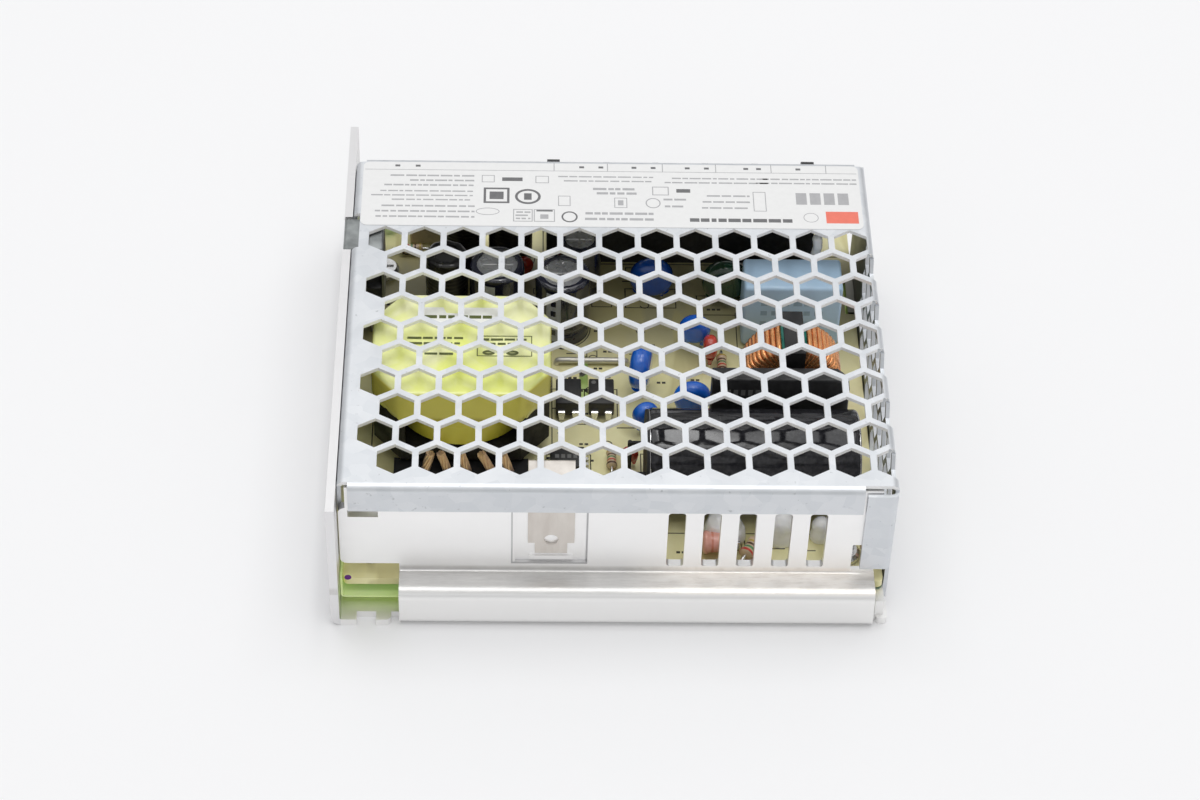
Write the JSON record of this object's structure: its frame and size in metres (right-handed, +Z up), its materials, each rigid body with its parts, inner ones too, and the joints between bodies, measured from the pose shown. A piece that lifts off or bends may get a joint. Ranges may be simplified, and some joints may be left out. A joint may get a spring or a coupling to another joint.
{
  "type": "enclosed switching power supply",
  "caption": "Flat folded metal case with a hexagonally perforated cover, a stepped rear wall with vent slots and a barrier terminal block; it turns mains into a low DC supply.",
  "frame": {"origin": "centre of the footprint, on the surface that the chassis stands on", "axes": "+X towards the perforated side wall, +Y towards the terminals, +Z up out of the perforated top"},
  "size_m": [0.097, 0.099, 0.0301],
  "materials": {
    "aluminium_sheet": "satin",
    "galvanised_sheet": "satin",
    "plated_steel": "satin",
    "label_paper": "matte",
    "insulation_film": "gloss",
    "board_laminate": "satin",
    "ferrite": "matte",
    "bobbin_plastic": "matte",
    "winding_tape": "satin",
    "core_tape": "satin",
    "copper_wire": "gloss",
    "can_aluminium": "satin",
    "black_sleeve": "gloss",
    "blue_epoxy": "satin",
    "blue_ceramic": "gloss",
    "green_epoxy": "satin",
    "teal_coating": "satin",
    "black_mould": "satin",
    "ceramic_tube": "satin",
    "red_epoxy": "gloss",
    "heat_pad": "matte",
    "spring_steel": "satin",
    "salmon_coating": "satin",
    "tan_coating": "satin",
    "tinned_wire": "gloss",
    "silicone": "satin",
    "led_lens": "gloss",
    "trimmer_blue": "satin",
    "white_plastic": "satin",
    "terminal_plastic": "satin"
  },
  "bodies": {
    "case": {"chassis": "aluminium_sheet", "cover": "galvanised_sheet", "cover_screws": "plated_steel", "label": "label_paper", "insulation_sheet": "insulation_film", "board": "board_laminate", "board_standoffs": "tinned_wire", "board_screws": "plated_steel", "transformer_core": "ferrite", "transformer_bobbin": "bobbin_plastic", "transformer_winding": "winding_tape", "transformer_tape": "core_tape", "transformer_leads": "copper_wire", "bulk_capacitor_can": "can_aluminium", "bulk_capacitor_sleeve": "black_sleeve", "film_capacitor": "blue_epoxy", "choke_core": "teal_coating", "choke_windings": "copper_wire", "choke_base": "bobbin_plastic", "bridge_rectifier": "black_mould", "thermistor": "green_epoxy", "fuse": "ceramic_tube", "disc_capacitors": "blue_ceramic", "varistor": "blue_ceramic", "output_capacitor_cans": "can_aluminium", "output_capacitor_sleeves": "black_sleeve", "output_inductor": "black_sleeve", "filter_inductors": "black_sleeve", "optocouplers": "black_mould", "controller_ic": "black_mould", "mosfet": "black_mould", "mosfet_pad": "heat_pad", "mosfet_clip": "spring_steel", "rectifier_diode": "black_mould", "rectifier_pad": "heat_pad", "rectifier_clip": "spring_steel", "power_resistor": "salmon_coating", "small_resistors": "tan_coating", "small_capacitors": "red_epoxy", "jumper_wires": "tinned_wire", "silicone_beads": "silicone", "led": "led_lens", "trimmer_body": "trimmer_blue", "terminal_block": "terminal_plastic", "terminal_contacts": "tinned_wire"},
    "clamp_1": {"terminal_clamp_1": "plated_steel"},
    "screw_1": {"terminal_screw_1": "plated_steel"},
    "clamp_2": {"terminal_clamp_2": "plated_steel"},
    "screw_2": {"terminal_screw_2": "plated_steel"},
    "clamp_3": {"terminal_clamp_3": "plated_steel"},
    "screw_3": {"terminal_screw_3": "plated_steel"},
    "clamp_4": {"terminal_clamp_4": "plated_steel"},
    "screw_4": {"terminal_screw_4": "plated_steel"},
    "clamp_5": {"terminal_clamp_5": "plated_steel"},
    "screw_5": {"terminal_screw_5": "plated_steel"},
    "trimmer": {"trimmer_rotor": "white_plastic"}
  },
  "joints": [
    {"name": "clamp_1_lift", "type": "slide", "parent": "case", "child": "clamp_1", "axis": [0, 0, 1], "range_m": [0, 0.003]},
    {"name": "screw_1_turn", "type": "hinge", "parent": "clamp_1", "child": "screw_1", "pos_m": [-0.00455, 0.04365, 0.0148], "axis": [0, 0, 1], "range_deg": [0, 1805]},
    {"name": "clamp_2_lift", "type": "slide", "parent": "case", "child": "clamp_2", "axis": [0, 0, 1], "range_m": [0, 0.003]},
    {"name": "screw_2_turn", "type": "hinge", "parent": "clamp_2", "child": "screw_2", "pos_m": [0.00495, 0.04365, 0.0148], "axis": [0, 0, 1], "range_deg": [0, 1805]},
    {"name": "clamp_3_lift", "type": "slide", "parent": "case", "child": "clamp_3", "axis": [0, 0, 1], "range_m": [0, 0.003]},
    {"name": "screw_3_turn", "type": "hinge", "parent": "clamp_3", "child": "screw_3", "pos_m": [0.01445, 0.04365, 0.0148], "axis": [0, 0, 1], "range_deg": [0, 1805]},
    {"name": "clamp_4_lift", "type": "slide", "parent": "case", "child": "clamp_4", "axis": [0, 0, 1], "range_m": [0, 0.003]},
    {"name": "screw_4_turn", "type": "hinge", "parent": "clamp_4", "child": "screw_4", "pos_m": [0.02395, 0.04365, 0.0148], "axis": [0, 0, 1], "range_deg": [0, 1805]},
    {"name": "clamp_5_lift", "type": "slide", "parent": "case", "child": "clamp_5", "axis": [0, 0, 1], "range_m": [0, 0.003]},
    {"name": "screw_5_turn", "type": "hinge", "parent": "clamp_5", "child": "screw_5", "pos_m": [0.03345, 0.04365, 0.0148], "axis": [0, 0, 1], "range_deg": [0, 1805]},
    {"name": "trimmer_turn", "type": "hinge", "parent": "case", "child": "trimmer", "pos_m": [-0.034, 0.0443, 0.012], "axis": [0, 0, 1], "range_deg": [-130, 130]}
  ],
  "couplings": [
    {"joint": "screw_1_turn", "follows": "clamp_1_lift", "rad_per_m": 10472},
    {"joint": "screw_2_turn", "follows": "clamp_2_lift", "rad_per_m": 10472},
    {"joint": "screw_3_turn", "follows": "clamp_3_lift", "rad_per_m": 10472},
    {"joint": "screw_4_turn", "follows": "clamp_4_lift", "rad_per_m": 10472},
    {"joint": "screw_5_turn", "follows": "clamp_5_lift", "rad_per_m": 10472}
  ]
}
